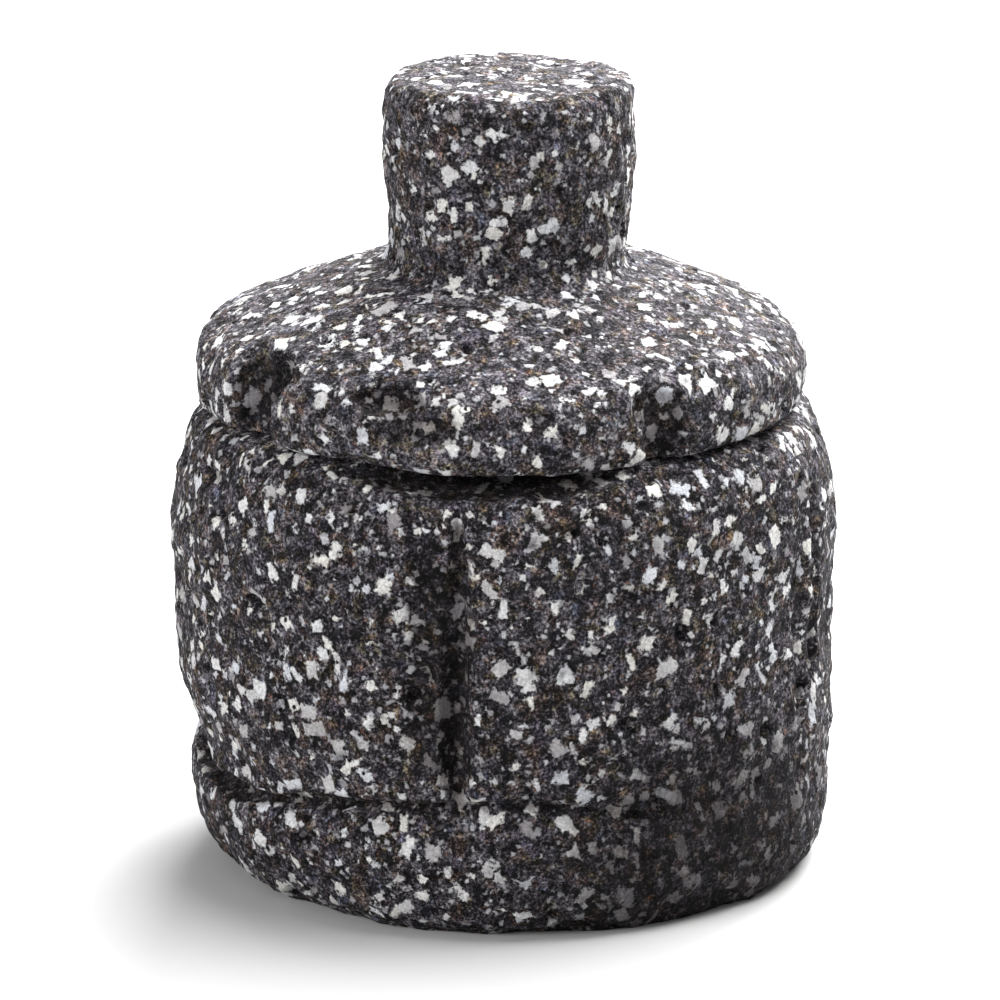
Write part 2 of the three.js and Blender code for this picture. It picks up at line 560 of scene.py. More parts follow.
@dataclass(frozen=True)
class Weathering:
    """One kind of stain that weather left in patches on the ground mass.

    Attributes:
        size: Size of the patches in millimetres.
        tint: Colour that is laid over the ground.
        start: Noise level at which a patch begins, so that a higher one makes patches rarer.
        full: Noise level at which it has its full strength.
        shift: Moves the pattern, so that two kinds don't fall on the same places.
    """

    size: float
    tint: str
    start: float
    full: float
    shift: tuple[float, float, float]


FRESH_FELDSPAR = (
    (0.0, "#faf9f8"), (0.2, "#f3f0ea"), (0.32, "#fbfbfd"), (0.46, "#bfbcbe"), (0.54, "#f8f7f7"),
    (0.68, "#e3e6ee"), (0.76, "#f5f4f4"), (0.86, "#a19da0"),
)
DULL_FELDSPAR = (
    (0.0, "#f1f1f4"), (0.2, "#aaa8ab"), (0.4, "#dddee4"), (0.62, "#8c8a8d"),
)

# Near-black glass between the grains, up to pale grains of plagioclase too small to see as crystals.
GROUND_MASS = (
    (0.37, "#050405"), (0.45, "#1a191c"), (0.53, "#3f3b41"), (0.61, "#6c686e"), (0.73, "#b0adb1"),
)

# Brown and olive altered olivine, violet and slate iron oxides, and small specks of rust.
STAINS = (
    Weathering(4.5, "#d8bca0", 0.52, 0.62, (3.0, 9.0, 1.0)),
    Weathering(3.6, "#cfc58c", 0.56, 0.64, (41.0, 7.0, 23.0)),
    Weathering(5.0, "#bdb6c7", 0.56, 0.64, (13.0, 61.0, 5.0)),
    Weathering(3.4, "#a9bfd8", 0.59, 0.66, (71.0, 3.0, 37.0)),
    Weathering(2.4, "#e3a178", 0.65, 0.70, (19.0, 83.0, 51.0)),
)


@dataclass(frozen=True)
class PorphyriticBasalt:
    """Porphyritic basalt, hewn and pecked by hand.

    The eye gets a dark, nearly black ground mass with a salt-and-pepper grain and faint brown, violet
    and slate patches, sown with blocky white feldspar crystals that the point has bruised to a mottled
    white. The surface is matt and gritty, with a faint sheen only where light grazes it. Open pores are
    painted near black, as the shade inside them; recesses and one patch get painted shade too.

    Attributes:
        name: The material's name.
        offset: Moves all patterns, in millimetres, so that no two stones have the same crystals.
        roughness: Roughness of the ground mass.
        crystal_roughness: Roughness of the crystals, whose broken faces are smoother.
        grit: Strength of the bump.
        grit_depth: Its depth in millimetres.
        grain: Size of the finest grains in millimetres.
        specular: Share of a dense stone's reflection that is left on the porous, dusty surface.
        painted_brightness: Painted light: above 1 it lifts the dark ground, less the white crystals, as
            more light would.
        shade_centre: Middle of a patch of painted shade, darker and with fewer crystals, in millimetres.
        shade_radius: Its radius, or 0 for none.
        generations: The generations of crystals, from the finest to the coarsest.
    """

    name: str
    offset: tuple[float, float, float] = (0.0, 0.0, 0.0)
    roughness: float = 0.88
    crystal_roughness: float = 0.6
    grit: float = 1.0
    grit_depth: float = 1.6
    grain: float = 0.62
    specular: float = 0.14
    painted_brightness: float = 1.0
    shade_centre: tuple[float, float, float] = (0.0, 0.0, 0.0)
    shade_radius: float = 0.0
    generations: tuple[Crystals, ...] = (
        Crystals(1.9, (0.25, 0.2, 0.15), (0.7, 0.45, 0.35), 0.45, 0.3, DULL_FELDSPAR, (9.0, 4.0, 7.0)),
        Crystals(3.2, (0.45, 0.3, 0.25), (1.4, 0.8, 0.6), 0.6, 0.5, DULL_FELDSPAR, (3.0, 8.0, 1.0)),
        Crystals(5.7, (1.4, 0.45, 0.4), (3.2, 0.9, 0.8), 0.8, 0.45, FRESH_FELDSPAR, (5.0, 2.0, 6.0)),
        Crystals(5.4, (0.9, 0.7, 0.6), (2.6, 1.8, 1.6), 0.88, 0.85, FRESH_FELDSPAR),
    )

    def material(self) -> bpy.types.Material:
        """Builds the node material.

        Returns:
            The finished material.
        """
        made = bpy.data.materials.new(self.name)
        made.use_nodes = True
        tree = made.node_tree
        tree.nodes.clear()
        place = add(tree, "TexCoord").outputs["Object"]
        in_mm = add(tree, "VectorMath", (place, (1 / MM,) * 3, self.offset), operation="MULTIPLY_ADD")
        grain = add(
            tree, "TexNoise",
            {"Vector": in_mm, "Scale": 1 / self.grain, "Detail": 4.0, "Roughness": 0.75},
        )
        # Painted shade: a patch where the stone is darker and has fewer crystals.
        shade_patch = self.painted_shade_patch(tree, place, in_mm)
        colour, crystals = self.sown(tree, in_mm, grain, shade_patch)
        pores = self.pores(tree, in_mm)
        # Painted shade: pores are painted near black, as the shade inside them.
        colour = add(tree, "Mix", {0: pores, 6: colour, 7: linear("#060506")}, data_type="RGBA").outputs[2]
        colour = self.darkened(tree, colour, shade_patch, in_mm)
        # Painted light: a gamma that lifts the colours, so that the stone reads as more brightly lit.
        colour = add(tree, "Gamma", (colour, 1 / self.painted_brightness))
        gloss = add(tree, "MapRange", {0: crystals, 3: self.roughness, 4: self.crystal_roughness})
        shader = add(
            tree, "BsdfPrincipled",
            {"Base Color": colour, "Roughness": gloss, "IOR": 1.56, "Specular IOR Level": self.specular,
             "Normal": self.bump(tree, in_mm, grain, crystals, pores)},
        )
        add(tree, "OutputMaterial", {"Surface": shader})
        return made

    def sown(
        self, tree: bpy.types.NodeTree, in_mm: bpy.types.Node, grain: bpy.types.Node,
        shade_patch: bpy.types.Node,
    ) -> tuple[bpy.types.NodeSocket, bpy.types.Node]:
        """The ground mass with all generations of crystals in it, fewer in the patch of painted shade.

        Args:
            tree: The node tree.
            in_mm: Coordinates in millimetres.
            grain: The finest noise.
            shade_patch: 1 in the patch of painted shade.

        Returns:
            The colour, and a mask that is 1 inside any crystal.
        """
        colour = self.ground(tree, in_mm, grain)
        # Fewer crystals in the patch of painted shade, so that it reads darker.
        sparse = add(tree, "Math", (shade_patch, -0.55, 1.0), operation="MULTIPLY_ADD")
        masks = []
        for generation in self.generations:
            inside, tint = self.crystals(tree, in_mm, grain, generation)
            masks.append(add(tree, "Math", (inside, sparse), operation="MULTIPLY"))
            colour = add(tree, "Mix", {0: masks[-1], 6: colour, 7: tint}, data_type="RGBA").outputs[2]
        crystals = masks[0]
        for mask in masks[1:]:
            crystals = add(tree, "Math", (crystals, mask), operation="MAXIMUM")
        return colour, crystals

    def darkened(
        self, tree: bpy.types.NodeTree, colour: bpy.types.NodeSocket, shade_patch: bpy.types.Node,
        in_mm: bpy.types.Node,
    ) -> bpy.types.NodeSocket:
        """The colour with painted shade: darker in the patch and in recesses below the first outside.

        Args:
            tree: The node tree.
            colour: The clean stone's colour.
            shade_patch: 1 in the patch of painted shade.
            in_mm: Coordinates in millimetres.

        Returns:
            The darkened colour.
        """
        # Painted shade in recesses: the deeper below the first outside, the darker, in noisy patches.
        depth = add(tree, "Attribute", attribute_name="recess").outputs["Fac"]
        patchy = add(tree, "TexNoise", {"Vector": in_mm, "Scale": 1 / 3.0, "Detail": 3.0, "Roughness": 0.6})
        swing = add(tree, "Math", (patchy, 3.0, -1.5), operation="MULTIPLY_ADD")
        shade_depth = add(tree, "Math", (depth, swing), operation="ADD")
        shallow = add(tree, "MapRange", (shade_depth, 0.2, 2.0), interpolation_type="SMOOTHSTEP")
        deep = add(tree, "MapRange", (shade_depth, 2.0, 7.0), interpolation_type="SMOOTHSTEP")
        # Each tint is painted shade, multiplied over the colour: the patch, then shallow and deep recesses.
        for mask, tint in ((shade_patch, "#9c9899"), (shallow, "#a09c9c"), (deep, "#a7a3a5")):
            colour = add(
                tree, "Mix", {0: mask, 6: colour, 7: linear(tint)}, data_type="RGBA",
                blend_type="MULTIPLY",
            ).outputs[2]
        return colour

    def wander(
        self, tree: bpy.types.NodeTree, place: bpy.types.Node, size_mm: float, reach: float
    ) -> bpy.types.Node:
        """Coordinates pushed about by noise.

        Args:
            tree: The node tree.
            place: Coordinates in millimetres.
            size_mm: Size of the noise's features.
            reach: How far it pushes, in millimetres.

        Returns:
            The moved coordinates.
        """
        spread = add(
            tree, "TexNoise", {"Vector": place, "Scale": 1 / size_mm, "Detail": 3.0, "Roughness": 0.7}
        ).outputs["Color"]
        pushed = add(tree, "VectorMath", (spread, (0.5,) * 3), operation="SUBTRACT")
        # Noise seldom leaves the middle 40 % of its range, so it is stretched by 2.6.
        return add(tree, "VectorMath", (pushed, (reach * 2.6,) * 3, place), operation="MULTIPLY_ADD")

    def painted_shade_patch(
        self, tree: bpy.types.NodeTree, place: bpy.types.NodeSocket, in_mm: bpy.types.Node
    ) -> bpy.types.Node:
        """The patch of painted shade, where the stone is darker and has fewer crystals.

        Args:
            tree: The node tree.
            place: Object coordinates in metres.
            in_mm: Coordinates in millimetres.

        Returns:
            A mask, 1 in the middle of the patch.
        """
        centre = tuple(length * MM for length in self.shade_centre)
        away = add(tree, "VectorMath", (place, centre), operation="DISTANCE").outputs["Value"]
        noise = add(tree, "TexNoise", {"Vector": in_mm, "Scale": 1 / 9.0, "Detail": 2.0, "Roughness": 0.5})
        ragged = add(tree, "Math", (noise, 16 * MM, -8 * MM), operation="MULTIPLY_ADD")
        edge = add(tree, "Math", (away, ragged), operation="ADD")
        reach = self.shade_radius * MM
        return add(tree, "MapRange", (edge, reach, reach * 0.35), interpolation_type="SMOOTHSTEP")

    def ground(
        self, tree: bpy.types.NodeTree, in_mm: bpy.types.Node, grain: bpy.types.Node
    ) -> bpy.types.NodeSocket:
        """The dark ground mass: fine grains, with patches of weathering over them.

        Args:
            tree: The node tree.
            in_mm: Coordinates in millimetres.
            grain: The finest noise.

        Returns:
            The colour.
        """
        clots = add(tree, "TexNoise", {"Vector": in_mm, "Scale": 1 / 2.4, "Detail": 3.0, "Roughness": 0.65})
        swing = add(tree, "Math", (clots, 0.66, -0.33), operation="MULTIPLY_ADD")
        ramp = add(tree, "ValToRGB", (add(tree, "Math", (grain, swing), operation="ADD"),))
        set_stops(ramp, GROUND_MASS)
        colour = ramp.outputs["Color"]
        for stain in STAINS:
            moved = add(tree, "VectorMath", (in_mm, stain.shift), operation="ADD")
            noise = add(
                tree, "TexNoise",
                {"Vector": moved, "Scale": 1 / stain.size, "Detail": 3.0, "Roughness": 0.6},
            )
            mask = add(
                tree, "MapRange", (noise, stain.start, stain.full, 0.0, 0.62),
                interpolation_type="SMOOTHSTEP",
            )
            colour = add(
                tree, "Mix", {0: mask, 6: colour, 7: linear(stain.tint)}, data_type="RGBA",
                blend_type="OVERLAY",
            ).outputs[2]
        return colour

    def crystals(
        self, tree: bpy.types.NodeTree, in_mm: bpy.types.Node, grain: bpy.types.Node, growth: Crystals
    ) -> tuple[bpy.types.Node, bpy.types.NodeSocket]:
        """One generation of crystals: a turned box of random size round each point of a cell pattern.

        Args:
            tree: The node tree.
            in_mm: Coordinates in millimetres.
            grain: The finest noise, which frays the crystals' edges.
            growth: Sizes and spacing of this generation.

        Returns:
            The mask, 1 inside a crystal, and the crystals' colour.
        """
        moved = add(tree, "VectorMath", (in_mm, growth.shift), operation="ADD")
        ragged = self.wander(tree, moved, 1.5, growth.ragged)
        cells = add(
            tree, "TexVoronoi", {"Vector": ragged, "Scale": 1 / growth.spacing, "Randomness": 0.95}
        ).outputs
        local = add(tree, "VectorMath", (ragged, cells["Position"]), operation="SUBTRACT")
        turn = add(tree, "VectorMath", (cells["Color"], (2 * math.pi,) * 3), operation="MULTIPLY")
        turned = add(
            tree, "VectorRotate", {"Vector": local, "Rotation": turn}, rotation_type="EULER_XYZ"
        )
        chance = add(tree, "TexWhiteNoise", {"Vector": cells["Color"]}, noise_dimensions="3D").outputs
        spread = tuple(high - low for low, high in zip(growth.smallest, growth.largest))
        size = add(
            tree, "VectorMath", (chance["Color"], spread, growth.smallest), operation="MULTIPLY_ADD"
        )
        folded = add(tree, "VectorMath", (turned,), operation="ABSOLUTE")
        beyond = add(tree, "VectorMath", (folded, size), operation="SUBTRACT")
        outside = add(tree, "SeparateXYZ", (beyond,)).outputs
        widest = add(tree, "Math", (outside[0], outside[1]), operation="MAXIMUM")
        widest = add(tree, "Math", (widest, outside[2]), operation="MAXIMUM")
        raised = add(tree, "Math", (widest, 0.45), operation="ADD")
        frayed = add(tree, "Math", (grain, -0.9, raised), operation="MULTIPLY_ADD")
        inside = add(tree, "MapRange", (frayed, 0.2, -0.18), interpolation_type="SMOOTHSTEP")
        present = add(tree, "Math", (chance["Value"], growth.share), operation="LESS_THAN")
        mask = add(tree, "Math", (inside, present), operation="MULTIPLY")
        ramp = add(tree, "ValToRGB", (chance["Value"],))
        set_stops(ramp, growth.tints)
        return mask, self.bruised(tree, ramp.outputs["Color"], in_mm, grain)

    def bruised(
        self, tree: bpy.types.NodeTree, colour: bpy.types.NodeSocket, in_mm: bpy.types.Node,
        grain: bpy.types.Node,
    ) -> bpy.types.NodeSocket:
        """The crystals' colour, mottled where the point has crushed them.

        Args:
            tree: The node tree.
            colour: The sound crystals' colour.
            in_mm: Coordinates in millimetres.
            grain: The finest noise.

        Returns:
            The mottled colour.
        """
        noise = add(tree, "TexNoise", {"Vector": in_mm, "Scale": 1 / 1.1, "Detail": 2.0, "Roughness": 0.6})
        bruise = add(tree, "MapRange", (noise, 0.3, 0.5, 0.8, 1.0), interpolation_type="SMOOTHSTEP")
        crushed = add(tree, "MapRange", (grain, 0.36, 0.62, 0.72, 1.1), interpolation_type="SMOOTHSTEP")
        mottle = add(tree, "Math", (bruise, crushed), operation="MULTIPLY")
        return add(
            tree, "Mix", {0: 1.0, 6: colour, 7: mottle}, data_type="RGBA", blend_type="MULTIPLY"
        ).outputs[2]

    def pores(self, tree: bpy.types.NodeTree, in_mm: bpy.types.Node) -> bpy.types.Node:
        """Open pores, 0.5 to 1.5 mm across.

        Args:
            tree: The node tree.
            in_mm: Coordinates in millimetres.

        Returns:
            A mask that is 1 in a pore.
        """
        moved = self.wander(tree, in_mm, 1.4, 0.8)
        cells = add(tree, "TexVoronoi", {"Vector": moved, "Scale": 1 / 3.6, "Randomness": 1.0})
        return add(
            tree, "MapRange", (cells.outputs["Distance"], 0.2, 0.1), interpolation_type="SMOOTHSTEP"
        )

    def bump(
        self, tree: bpy.types.NodeTree, in_mm: bpy.types.Node, grain: bpy.types.Node,
        crystals: bpy.types.Node, pores: bpy.types.Node,
    ) -> bpy.types.Node:
        """Grit finer than the mesh: bruised grains, crystals a little proud, pores sunk.

        Args:
            tree: The node tree.
            in_mm: Coordinates in millimetres.
            grain: The finest noise.
            crystals: 1 inside the crystals.
            pores: 1 inside the pores.

        Returns:
            The node that gives the bumped normal.
        """
        coarse = add(
            tree, "TexNoise", {"Vector": in_mm, "Scale": 1 / 2.0, "Detail": 4.0, "Roughness": 0.65}
        )
        rough = add(tree, "Math", (coarse, 1.5), operation="MULTIPLY")
        lifted = add(tree, "Math", (crystals, 0.1, rough), operation="MULTIPLY_ADD")
        gritty = add(tree, "Math", (grain, 0.7, lifted), operation="MULTIPLY_ADD")
        sunk = add(tree, "Math", (pores, -0.8, gritty), operation="MULTIPLY_ADD")
        return add(
            tree, "Bump", {"Height": sunk, "Strength": self.grit, "Distance": self.grit_depth * MM}
        )


@dataclass(frozen=True)
class PaleBoard:
    """Matt, pale painted board that the object stands on: an even, nearly white sweep.

    Attributes:
        tint: The paint's colour, a light grey that the lights lift to white.
        roughness: Roughness of the rolled paint.
    """

    tint: str = "#b0b0b0"
    roughness: float = 0.9

    def material(self) -> bpy.types.Material:
        """Builds the board's material.

        Returns:
            The finished material.
        """
        made = bpy.data.materials.new("pale_board")
        made.use_nodes = True
        shader = made.node_tree.nodes["Principled BSDF"]
        shader.inputs["Base Color"].default_value = linear(self.tint)
        shader.inputs["Roughness"].default_value = self.roughness
        return made


# ---------------------------------------------------------------- the three stones


def blend(value: float, start: float, full: float) -> float:
    """How far a value has come from start to full, from 0 to 1."""
    return min(1.0, max(0.0, (value - start) / (full - start)))


@dataclass
class Mortar:
    """The lobed vessel on its round foot, with its cavity.

    The outline's rings give the stand-out to the left and to the right, because the hewn stone isn't
    quite round.

    Attributes:
        height: Height of the flat rim, in millimetres as all sizes here.
        mouth_radius: Radius of the mouth.
        lip_radius: Radius of the rounded edge between rim and mouth.
        cavity_radius: Radius of the cavity where it starts to round off.
        cavity_round_top: Height from which the cavity is half an ellipsoid.
        cavity_floor: Height of its lowest point.
        rim_reach: Radius within which the rim is dressed.
        rim_depth: How far below the rim the dressing reaches.
        rubbed_reach: Radius within which the stone is rubbed by use.
        dressed: Share of the roughness that is left on the dressed rim.
        rubbed: Share that is left in the rubbed cavity.
        voxel: Size of the grid that the surface is rebuilt on.
        finish: The stone.
    """

    height: float
    mouth_radius: float = 44.6
    lip_radius: float = 2.6
    cavity_radius: float = 43.0
    cavity_round_top: float = 70.0
    cavity_floor: float = 30.0
    rim_reach: float = 60.0
    rim_depth: float = 2.5
    rubbed_reach: float = 47.5
    dressed: float = 0.12
    rubbed: float = 0.35
    voxel: float = 0.96
    # Painted shade low at the front right: the stone is darker there, with fewer crystals.
    finish: PorphyriticBasalt = PorphyriticBasalt(
        "pecked_basalt_mortar", shade_centre=(45.0, -42.0, 8.0), shade_radius=48.0,
    )

    def outline(self) -> list[Ring]:
        """The rings from the middle of the base, up the outside, and down into the cavity.

        Returns:
            The rings in order.
        """
        base = [even(40, -1.0, 2.5), Ring(52.0, 59.8, -1.0)]
        foot = [
            Ring(55.0, 62.0, 0.8), Ring(59.0, 64.0, 3.6), Ring(62.0, 65.2, 8.5), Ring(63.3, 65.6, 13.5),
            Ring(63.9, 66.0, 18.0), Ring(63.0, 66.2, 22.0),
        ]
        waist = [Ring(61.4, 66.2, 25.4), Ring(62.0, 66.3, 28.4)]
        lobe = [
            Ring(63.6, 66.5, 32.5), Ring(65.2, 66.6, 37.5), Ring(66.2, 66.4, 44.0), Ring(66.6, 66.0, 55.0),
            Ring(66.8, 66.2, 66.0), Ring(66.4, 66.3, 74.0), Ring(65.6, 65.6, 80.5),
        ]
        shoulder = [Ring(64.2, 64.5, 85.8), Ring(62.3, 62.6, 90.2), Ring(59.4, 59.8, 92.8)]
        rim = [even(55.5, self.height), even(50.5, self.height), even(47.6, self.height)]
        turn = self.lip_radius
        lip = arc_rings((self.mouth_radius + turn, self.height - turn), (turn, turn), (115, 180), 3)
        wall = [even(43.7, 82), even(self.cavity_radius, self.cavity_round_top)]
        hollow = arc_rings(
            (0, self.cavity_round_top), (self.cavity_radius, self.cavity_round_top - self.cavity_floor),
            (-12, -80), 7,
        )
        return base + foot + waist + lobe + shoulder + rim + lip + wall + hollow

    def strokes(self) -> list[Chisel | Ledge]:
        """The grooves between the lobes, the line above the foot, and the deeper knocks.

        Returns:
            The strokes in order: the line, the grooves, then the knocks in the wall and the base.
        """
        top = self.height + 8
        line = Ledge((62.3, 61.2), 3.6, 26.2, (6.0, 1.7), ((-55, -4.2, 34), (4, 1.8, 26), (34, -1.6, 22)))
        return [
            line,
            # The front groove has a steep right flank and a long left one; then right, back and left.
            Chisel(Cut.WEDGE, -0.4, 70.0, 5.2, 11.6, 34, top, lean=8, flare=3.0),
            Chisel(Cut.FLUTE, -5.6, 75.0, 10.5, 11.6, 34, top, lean=12, flare=1.0),
            Chisel(Cut.FLUTE, -2.0, 67.6, 3.6, 7.6, 36, 74, lean=6, flare=3.4),
            Chisel(Cut.WEDGE, 3.2, 69.6, 1.4, 7.0, 38, 70, flare=1.0),
            Chisel(Cut.WEDGE, 76.0, 70.6, 7.6, 7.6, 47, top, lean=-8, flare=1.0),
            Chisel(Cut.FLUTE, 70.0, 74.0, 7.5, 9.6, 44, top),
            Chisel(Cut.WEDGE, 180.0, 70.0, 5.0, 10.0, 30, top, flare=1.5),
            Chisel(Cut.FLUTE, 184.0, 73.0, 8.0, 9.6, 32, top),
            Chisel(Cut.WEDGE, 268.0, 69.6, 4.8, 8.6, 36, top, lean=6),
            Chisel(Cut.FLUTE, 264.0, 73.0, 7.0, 8.4, 36, top),
            # The seat is knocked away at the front, under the lid's edge.
            Chisel(Cut.PIT, 2.0, 63.0, 56.0, 14.0, 89.6, 98.4),
            Chisel(Cut.PIT, -40.0, 67.0, 3.0, 4.0, 62.0, 66.4, lean=-30),
            Chisel(Cut.PIT, 74.0, 64.6, 3.0, 4.0, 66.0, 71.0),
            Chisel(Cut.PIT, 72.0, 65.8, 3.0, 3.8, 39.0, 43.6),
            Chisel(Cut.PIT, -57.0, 66.8, 3.4, 4.0, 83.0, 88.0),
            Chisel(Cut.PIT, 28.0, 67.0, 2.4, 3.4, 43.0, 46.0),
            # Chips along the edge that the stone stands on.
            Chisel(Cut.PIT, -50.0, 59.6, 3.4, 4.4, -4.0, 4.0),
            Chisel(Cut.PIT, -38.0, 60.6, 4.0, 5.0, -4.0, 4.6),
            Chisel(Cut.PIT, -26.0, 61.6, 3.2, 5.0, -4.0, 3.6),
            Chisel(Cut.PIT, -12.0, 62.6, 2.6, 4.4, -4.0, 3.0),
            Chisel(Cut.PIT, 4.0, 63.6, 3.6, 4.6, -4.0, 3.4),
            Chisel(Cut.PIT, 22.0, 63.8, 5.0, 5.0, -4.0, 4.4),
            Chisel(Cut.PIT, 34.0, 64.4, 3.0, 4.4, -4.0, 3.6),
            Chisel(Cut.PIT, 51.0, 66.0, 8.0, 5.4, -6.0, 6.0),
        ]

    def softness(self, vertex: bpy.types.MeshVertex) -> float:
        """How rough a vertex gets: the rim is dressed flat, and use has rubbed the cavity.

        Args:
            vertex: A vertex of the stone.

        Returns:
            Its share of the roughness, from 0 to 1.
        """
        height = vertex.co.z / MM
        radius = math.hypot(vertex.co.x, vertex.co.y) / MM
        if height > self.height - self.rim_depth and radius < self.rim_reach:
            return self.dressed
        if radius < self.rubbed_reach and height > self.cavity_floor - 2:
            return self.rubbed
        return 1.0

    def build(self) -> bpy.types.Object:
        """Builds and dresses the mortar.

        Returns:
            The finished piece.
        """
        stone = raise_rings("mortar_stone", self.outline(), sides=144)
        skin = skin_of(stone)
        carve(stone, self.strokes())
        weather(stone, self.voxel, [
            Roughness(Relief.SWELL, 26.0, 3.0),
            Roughness(Relief.SWELL, 9.0, 2.4),
            Roughness(Relief.SWELL, 3.4, 1.5, 3),
            Roughness(Relief.PIT, 12.0, 1.7, share=0.17),
            Roughness(Relief.PIT, 6.5, 1.1, share=0.17),
        ], self.softness)
        trim_below(stone, 0.0)
        note_recesses(stone, skin)
        stone.data.materials.append(self.finish.material())
        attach(stone, "mortar")
        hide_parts("bowl")
        return stone


@dataclass
class Lid:
    """The domed and lobed lid, with its knob cut from the same block.

    Attributes:
        seat: Height of the flat underside, in millimetres as all sizes here.
        top: Height of the knob's top.
        boss_radius: Radius of the boss that finds the mortar's mouth.
        boss_depth: How far the boss reaches below the seat.
        lip_at: Where the front lobe hangs lowest, across and front to back.
        lip_sag: How far it hangs.
        lip_spread: How far the sag reaches from there.
        dressed: Share of the roughness that is left on the seat.
        voxel: Size of the grid that the surface is rebuilt on.
        finish: The stone.
    """

    seat: float
    top: float
    boss_radius: float = 41.0
    boss_depth: float = 4.6
    lip_at: tuple[float, float] = (8.0, -59.0)
    lip_sag: float = 0.9
    lip_spread: float = 44.0
    dressed: float = 0.12
    voxel: float = 0.68
    # Painted light: the lid's colours are lifted, so that it reads brighter than the mortar.
    finish: PorphyriticBasalt = PorphyriticBasalt(
        "pecked_basalt_lid", offset=(211.0, 57.0, 89.0), painted_brightness=1.13,
    )

    def outline(self) -> list[Ring]:
        """The rings from the middle of the boss, out under the rim, over the dome and up the knob.

        Returns:
            The rings in order.
        """
        low, wide = self.seat - self.boss_depth, self.boss_radius
        boss = [even(30, low), even(wide - 2.5, low), even(wide, low + 2.2), even(wide + 0.4, self.seat)]
        edge = [even(50, self.seat), even(58.2, self.seat, -0.8), Ring(60.6, 59.0, 94.7)]
        rim = [Ring(61.4, 59.8, 96.6), Ring(61.5, 60.1, 100.5), Ring(61.3, 60.1, 104.5)]
        shoulder = [Ring(60.0, 58.4, 107.6), Ring(56.8, 55.4, 110.2), Ring(52.0, 50.8, 112.3)]
        dome = [even(46.5, 114.5, -0.3), even(39.5, 117.3), even(33, 119.9, 0.4), even(27.6, 121.4, 0.8)]
        neck = [even(24.9, 122.3, 1.0), even(23.7, 124.8, 0.9), Ring(23.2, 24.9, 131.5)]
        knob = [Ring(23.8, 25.7, 138.0), Ring(24.0, 26.1, 146.0), Ring(24.0, 25.8, 152.0)]
        crown = arc_rings((21.9, self.top - 4.0), (3.0, 4.0), (15, 82), 5, shift=1.0)
        return boss + edge + rim + shoulder + dome + neck + knob + crown + [even(12, self.top + 0.5, 1.2)]

    def strokes(self) -> list[Chisel | Ledge]:
        """The grooves that part the rim into lobes, and the knocks in it.

        Returns:
            The strokes in order.
        """
        low = self.seat - 12
        return [
            # The left front groove, the right front one, and the two at the back.
            Chisel(Cut.WEDGE, -45.0, 67.5, 7.0, 13.0, low, 112, lean=10, flare=-4.0),
            Chisel(Cut.FLUTE, -49.0, 66.0, 6.5, 8.0, low, 114, lean=10, flare=-6.0),
            Chisel(Cut.PIT, -43.6, 59.2, 5.0, 7.6, 102.5, 113.0),
            Chisel(Cut.WEDGE, 35.4, 67.6, 5.2, 11.2, low, 112, lean=-6, flare=-3.0),
            Chisel(Cut.FLUTE, 38.0, 65.6, 6.0, 7.4, low, 112, lean=-10, flare=-3.0),
            Chisel(Cut.PIT, 35.6, 60.6, 4.2, 4.6, 101.0, 111.0),
            Chisel(Cut.WEDGE, 131.0, 63.4, 5.2, 10.0, low, 122),
            Chisel(Cut.FLUTE, 230.0, 63.4, 5.0, 7.8, low, 120),
            # A long dent in the front shoulder, then knocks in the knob and along the lower edge.
            Chisel(Cut.PIT, -15.0, 61.0, 8.0, 7.0, 103.8, 111.6, lean=8),
            Chisel(Cut.PIT, -9.0, 63.2, 14.0, 5.0, 97.0, 110.0),
            Chisel(Cut.PIT, 14.0, 62.0, 5.0, 3.6, 103.0, 108.0),
            Chisel(Cut.PIT, -30.0, 25.5, 2.2, 3.0, 136.0, 140.0),
            Chisel(Cut.PIT, -58.0, 25.8, 2.6, 3.2, 144.0, 149.0),
            Chisel(Cut.PIT, 30.0, 27.4, 2.4, 3.0, 132.0, 136.0),
            Chisel(Cut.PIT, 74.0, 28.4, 3.0, 3.4, 146.0, 152.0),
            Chisel(Cut.PIT, 62.0, 62.0, 5.0, 3.6, 92.0, 97.0),
            Chisel(Cut.PIT, -22.0, 61.6, 6.0, 3.4, 91.5, 96.0),
        ]

    def softness(self, vertex: bpy.types.MeshVertex) -> float:
        """How rough a vertex gets: the seat is dressed flat, and less so towards the rim.

        Args:
            vertex: A vertex of the stone.

        Returns:
            Its share of the roughness, from 0 to 1.
        """
        height = vertex.co.z / MM
        radius = math.hypot(vertex.co.x, vertex.co.y) / MM
        if height < self.seat + 0.8:
            return self.dressed + 0.5 * blend(radius, 54, 59)
        return 1.0

    def build(self) -> bpy.types.Object:
        """Builds and dresses the lid.

        Returns:
            The finished piece.
        """
        stone = raise_rings("lid_stone", self.outline(), sides=144)
        lip = Vector((*self.lip_at, self.seat)) * MM
        select_vertices(stone, lambda place: (place - lip).length < 4 * MM)
        bpy.ops.transform.translate(
            value=(0, 0, -self.lip_sag * MM), use_proportional_edit=True,
            proportional_edit_falloff="SMOOTH", proportional_size=self.lip_spread * MM,
        )
        bpy.ops.object.mode_set(mode="OBJECT")
        skin = skin_of(stone)
        carve(stone, self.strokes())
        weather(stone, self.voxel, [
            Roughness(Relief.SWELL, 21.0, 2.2),
            Roughness(Relief.SWELL, 8.0, 2.0),
            Roughness(Relief.SWELL, 3.0, 1.2, 3),
            Roughness(Relief.PIT, 11.0, 1.5, share=0.16),
            Roughness(Relief.PIT, 6.0, 0.9, share=0.16),
        ], self.softness)
        note_recesses(stone, skin)
        stone.data.materials.append(self.finish.material())
        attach(stone, "lid")
        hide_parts("lid")
        return stone


